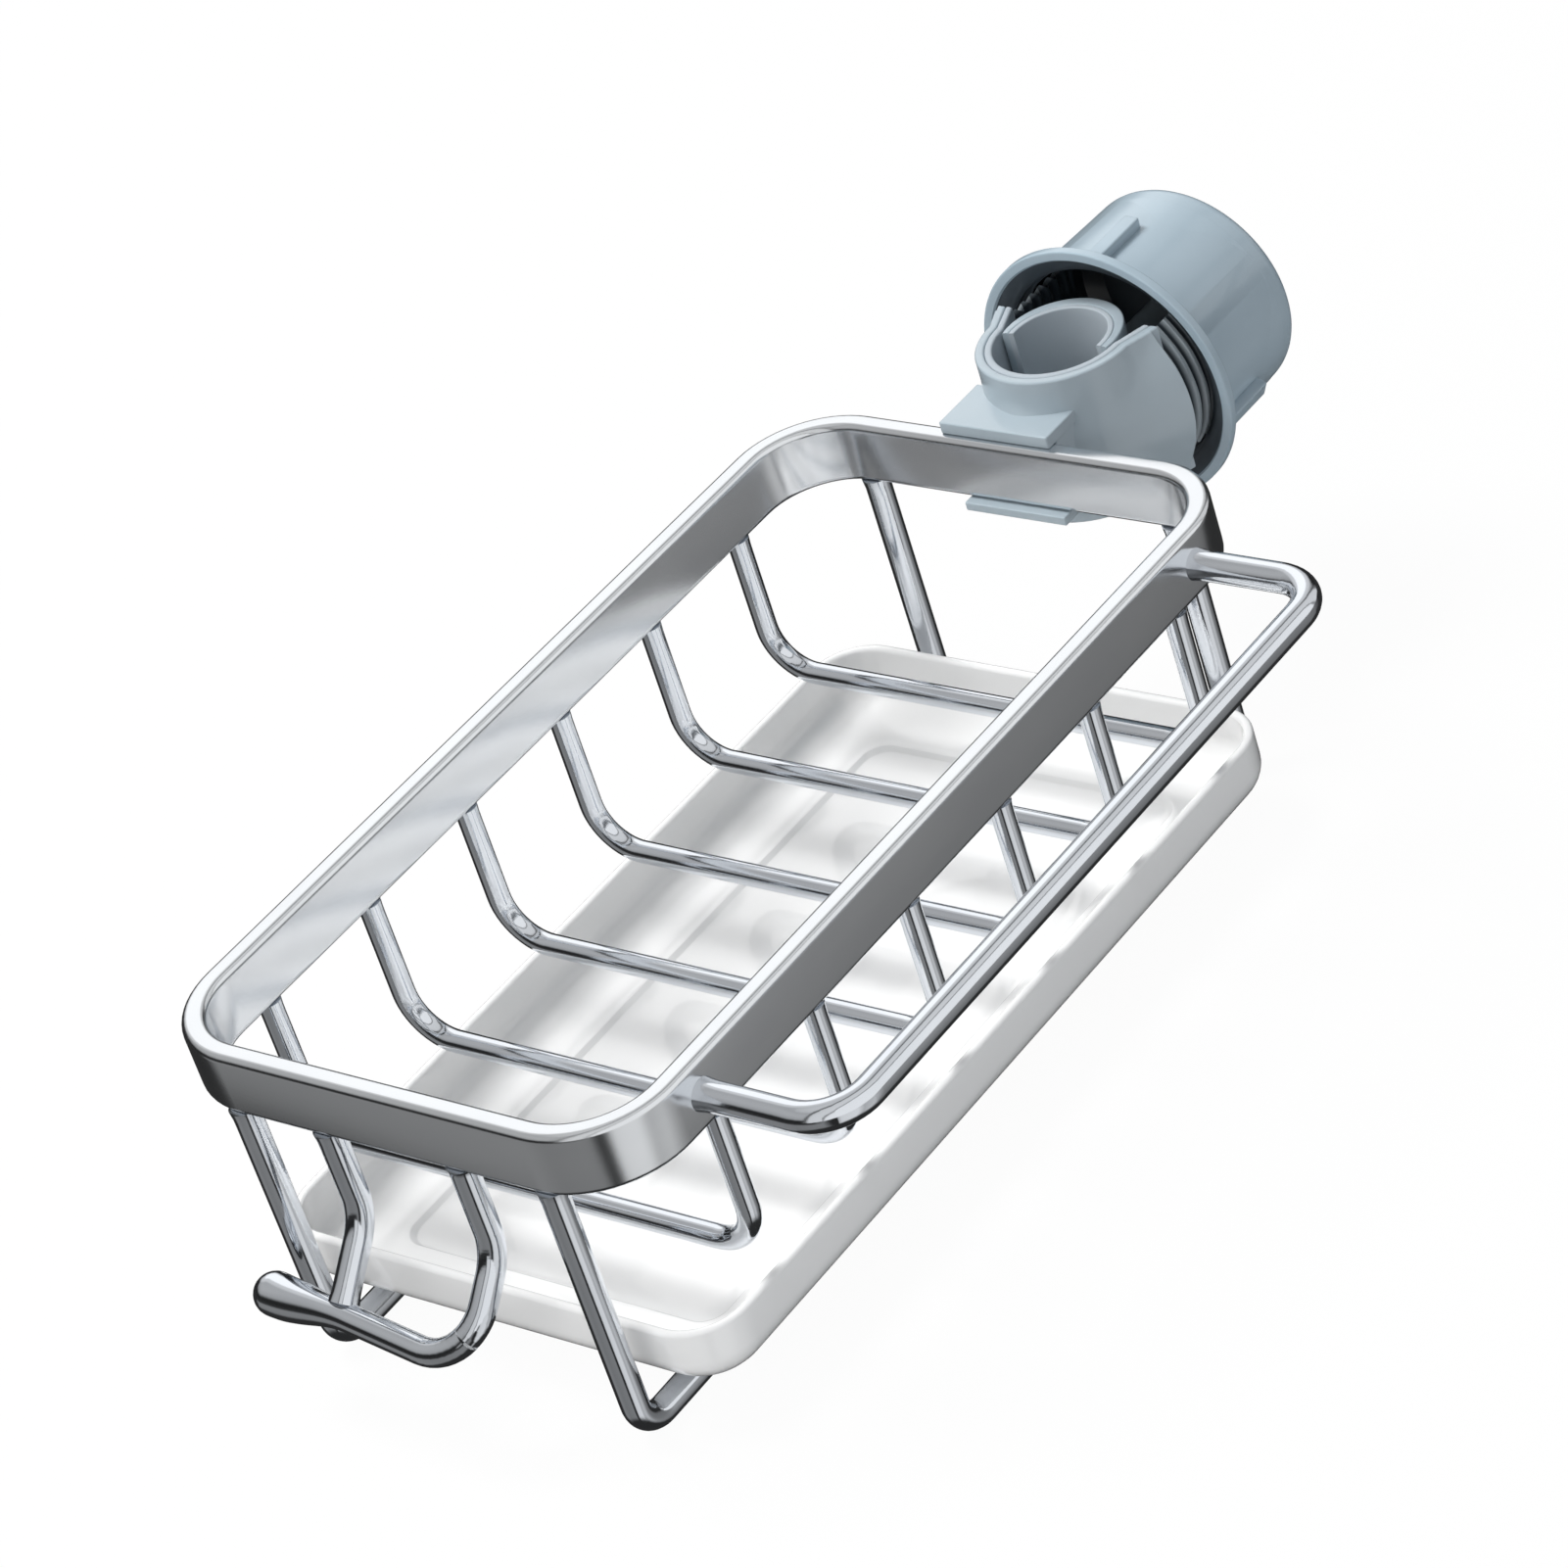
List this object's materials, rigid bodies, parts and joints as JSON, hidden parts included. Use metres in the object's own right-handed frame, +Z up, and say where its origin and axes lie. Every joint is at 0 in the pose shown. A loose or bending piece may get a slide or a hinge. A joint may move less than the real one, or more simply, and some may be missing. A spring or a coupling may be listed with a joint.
{
  "type": "sponge holder",
  "caption": "Wire sponge basket on a flat band rim, with a towel bar, a front hook, a slide-out drip tray and a screw clamp that grips a faucet neck.",
  "frame": {"origin": "axis of the faucet neck that the clamp grips, level with the middle of the rim band", "axes": "+Z up along the faucet neck, +Y from the basket to the clamp nut, +X to the towel bar's side"},
  "size_m": [0.1445, 0.2901, 0.0963],
  "materials": {
    "steel": "polished",
    "tray_plastic": "glossy",
    "clamp_plastic": "satin",
    "lining": "matte"
  },
  "bodies": {
    "rack": {"rim_band": "steel", "rib_1": "steel", "rib_2": "steel", "rib_3": "steel", "rib_4": "steel", "rib_5": "steel", "rib_6": "steel", "tray_rail_left": "steel", "tray_rail_right": "steel", "towel_bar": "steel", "hook_bar": "steel", "hook_leg": "steel", "clamp_bracket": "clamp_plastic", "fixed_lining": "lining"},
    "tray": {"drip_tray": "tray_plastic"},
    "jaw": {"clamp_jaw": "clamp_plastic", "moving_lining": "lining"},
    "nut": {"clamp_nut": "clamp_plastic"}
  },
  "joints": [
    {"name": "tray_slide", "type": "slide", "parent": "rack", "child": "tray", "axis": [1, 0, 0], "range_m": [-0.115, 0.115]},
    {"name": "jaw_slide", "type": "slide", "parent": "rack", "child": "jaw", "axis": [0, 1, 0], "range_m": [0, 0.009]},
    {"name": "nut_turn", "type": "hinge", "parent": "jaw", "child": "nut", "pos_m": [0, 0.02, 0], "axis": [0, 1, 0], "range_deg": [0, 1085]}
  ],
  "couplings": [
    {"joint": "nut_turn", "follows": "jaw_slide", "rad_per_m": 2094.4}
  ]
}
